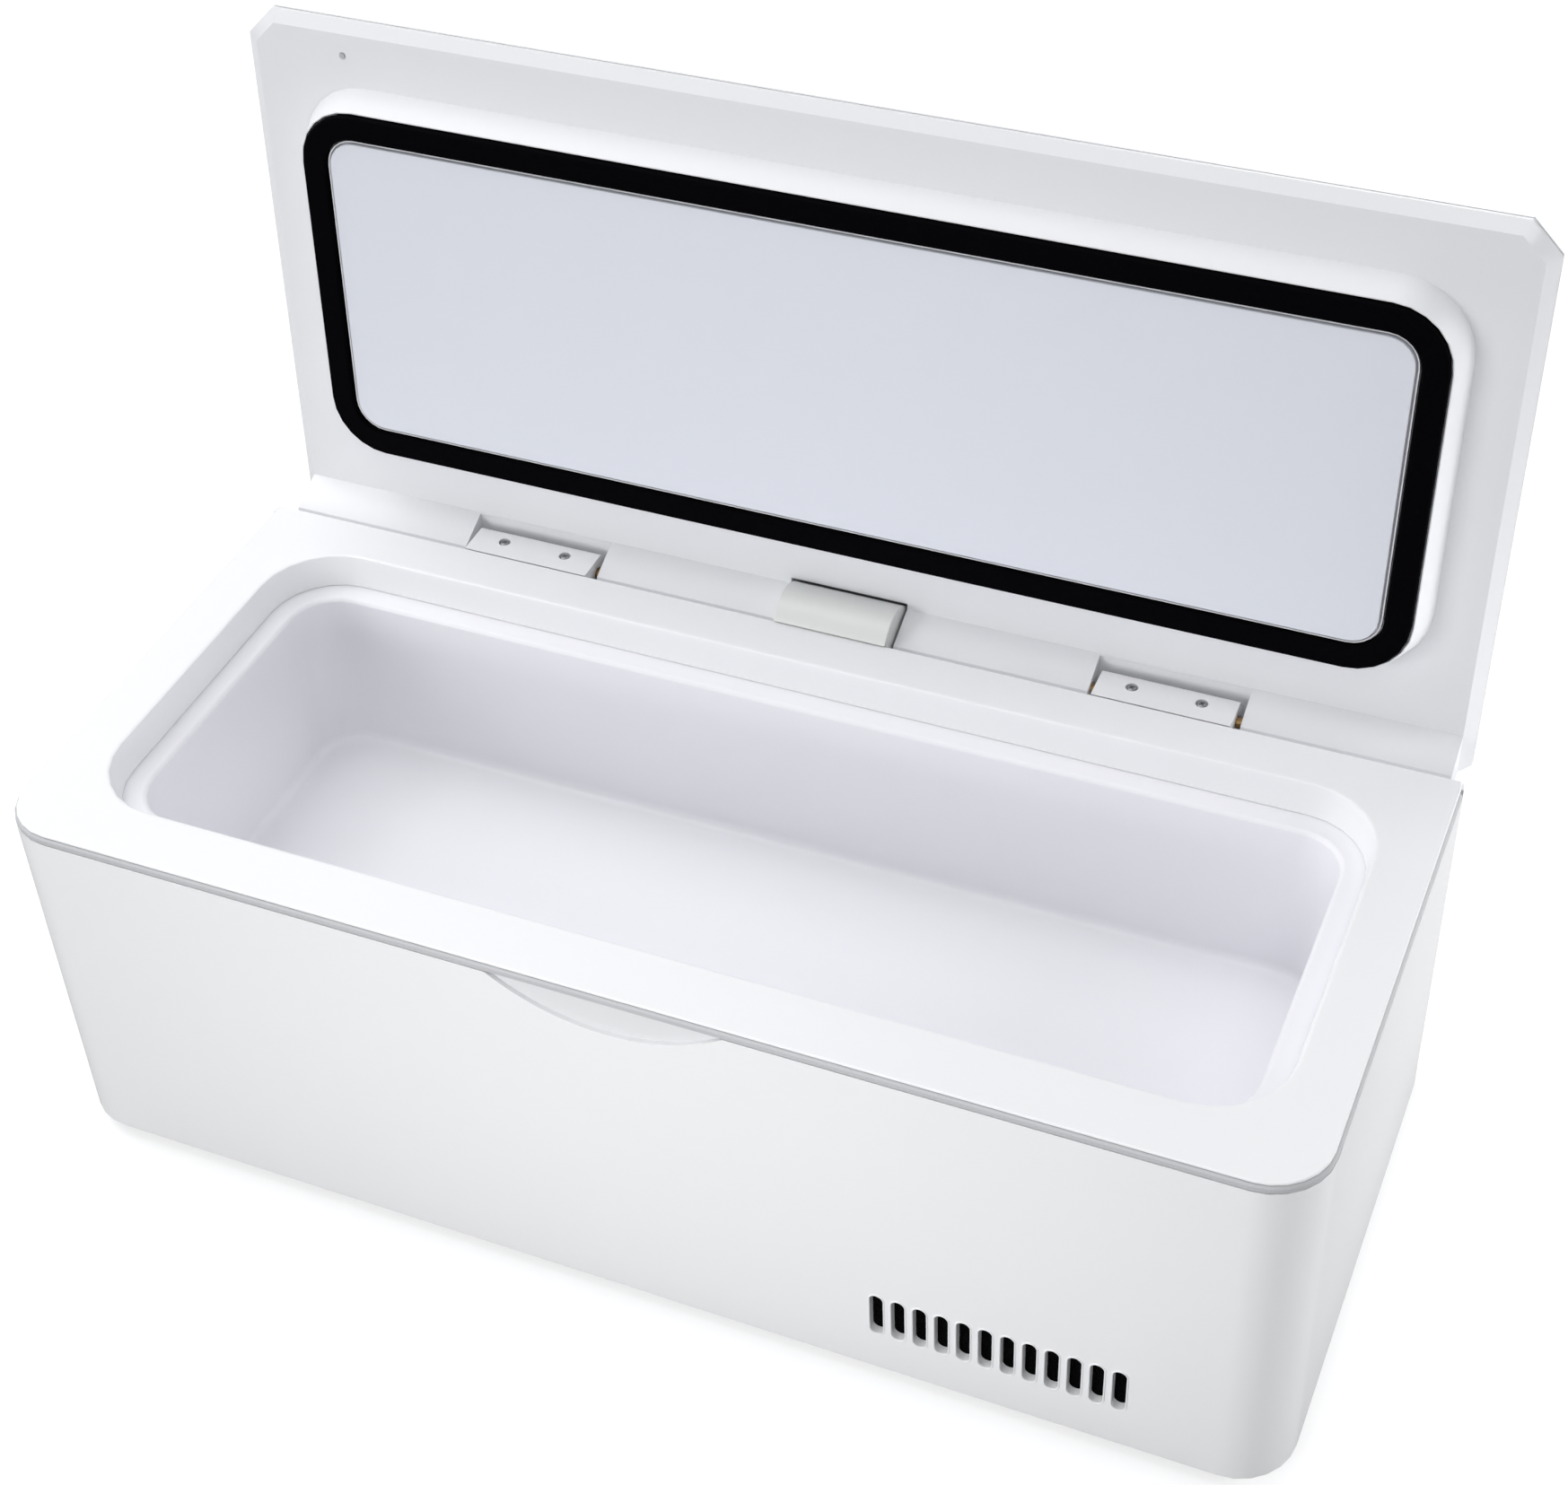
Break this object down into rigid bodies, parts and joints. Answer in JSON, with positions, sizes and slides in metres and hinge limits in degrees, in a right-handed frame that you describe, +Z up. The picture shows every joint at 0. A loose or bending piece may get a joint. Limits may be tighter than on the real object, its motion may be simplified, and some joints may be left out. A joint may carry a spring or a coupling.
{
  "type": "insulin cooling case",
  "caption": "Hinged box that chills medicine pens in a lined tray: stepped mouth, lid with sealing plug and black gasket, side vents, finger scoop, display and push buttons.",
  "frame": {"origin": "centre of the box of the case with its lid open, on the surface that its feet stand on", "axes": "+X along the case to its vented end, +Y from the front to the hinge, +Z up"},
  "size_m": [0.22, 0.1202, 0.1653],
  "materials": {
    "case_white": "satin moulded plastic",
    "deck_white": "satin moulded plastic",
    "lid_white": "satin moulded plastic",
    "tray_white": "smooth moulded plastic",
    "base_white": "fine matt texture",
    "hinge_white": "moulded plastic",
    "drum_grey": "moulded plastic",
    "panel_grey": "smooth sheet",
    "button_grey": "moulded plastic",
    "strip_grey": "soft grey strip",
    "gasket_rubber": "soft black rubber",
    "foot_rubber": "soft black rubber",
    "foam": "closed-cell foam",
    "filter_black": "open-cell filter mat",
    "pin_brass": "drawn rod",
    "aluminium": "extruded",
    "ceramic": "ceramic faces",
    "fan_black": "moulded plastic",
    "cell_wrap": "shrink film",
    "circuit_board": "solder mask",
    "steel": "plated",
    "display_lens": "polished tinted lens",
    "display_glass": "display glass"
  },
  "bodies": {
    "case": {"body_shell": "case_white", "deck_strip": "strip_grey", "top_frame": "deck_white", "cavity_liner": "tray_white", "insulation_foam": "foam", "base_plate": "base_white", "vent_filter_front": "filter_black", "vent_filter_rear": "filter_black", "cold_plate": "aluminium", "peltier_module": "ceramic", "heat_sink": "aluminium", "fan_frame": "fan_black", "battery_holder": "fan_black", "battery_cell_front": "cell_wrap", "battery_cell_rear": "cell_wrap", "control_board": "circuit_board", "dc_jack": "fan_black", "foot_front_left": "foot_rubber", "foot_front_right": "foot_rubber", "foot_rear_left": "foot_rubber", "foot_rear_right": "foot_rubber", "base_screw_front_left": "steel", "base_screw_front_right": "steel", "base_screw_rear_left": "steel", "base_screw_rear_right": "steel", "hinge_block_left": "hinge_white", "hinge_block_right": "hinge_white", "hinge_pin_left_outer": "pin_brass", "hinge_pin_left_inner": "pin_brass", "hinge_pin_right_outer": "pin_brass", "hinge_pin_right_inner": "pin_brass", "hinge_screw_left_outer": "steel", "hinge_screw_left_inner": "steel", "hinge_screw_right_outer": "steel", "hinge_screw_right_inner": "steel", "cable_drum": "drum_grey"},
    "lid": {"lid_inner_frame": "lid_white", "lid_shell": "case_white", "lid_foam": "foam", "gasket": "gasket_rubber", "inner_panel": "panel_grey", "lid_sensor_pip": "aluminium", "display_window": "display_lens", "display_module": "display_glass", "lid_board": "circuit_board"},
    "fan": {"fan_rotor": "fan_black"},
    "set_button": {"button_set": "button_grey"},
    "power_button": {"button_power": "button_grey"}
  },
  "joints": [
    {"name": "lid_hinge", "type": "hinge", "parent": "case", "child": "lid", "pos_m": [0, 0.03693, 0.0699], "axis": [1, 0, 0], "range_deg": [0, 93.9]},
    {"name": "fan_spin", "type": "hinge", "parent": "case", "child": "fan", "pos_m": [0.0635, -0.01287, 0.0095], "axis": [0, 0, 1], "continuous": true},
    {"name": "set_press", "type": "slide", "parent": "lid", "child": "set_button", "axis": [0, -0.9977, 0.068], "range_m": [0, 0.0006], "stiffness_N_per_m": 600},
    {"name": "power_press", "type": "slide", "parent": "lid", "child": "power_button", "axis": [0, -0.9977, 0.068], "range_m": [0, 0.0006], "stiffness_N_per_m": 600}
  ]
}
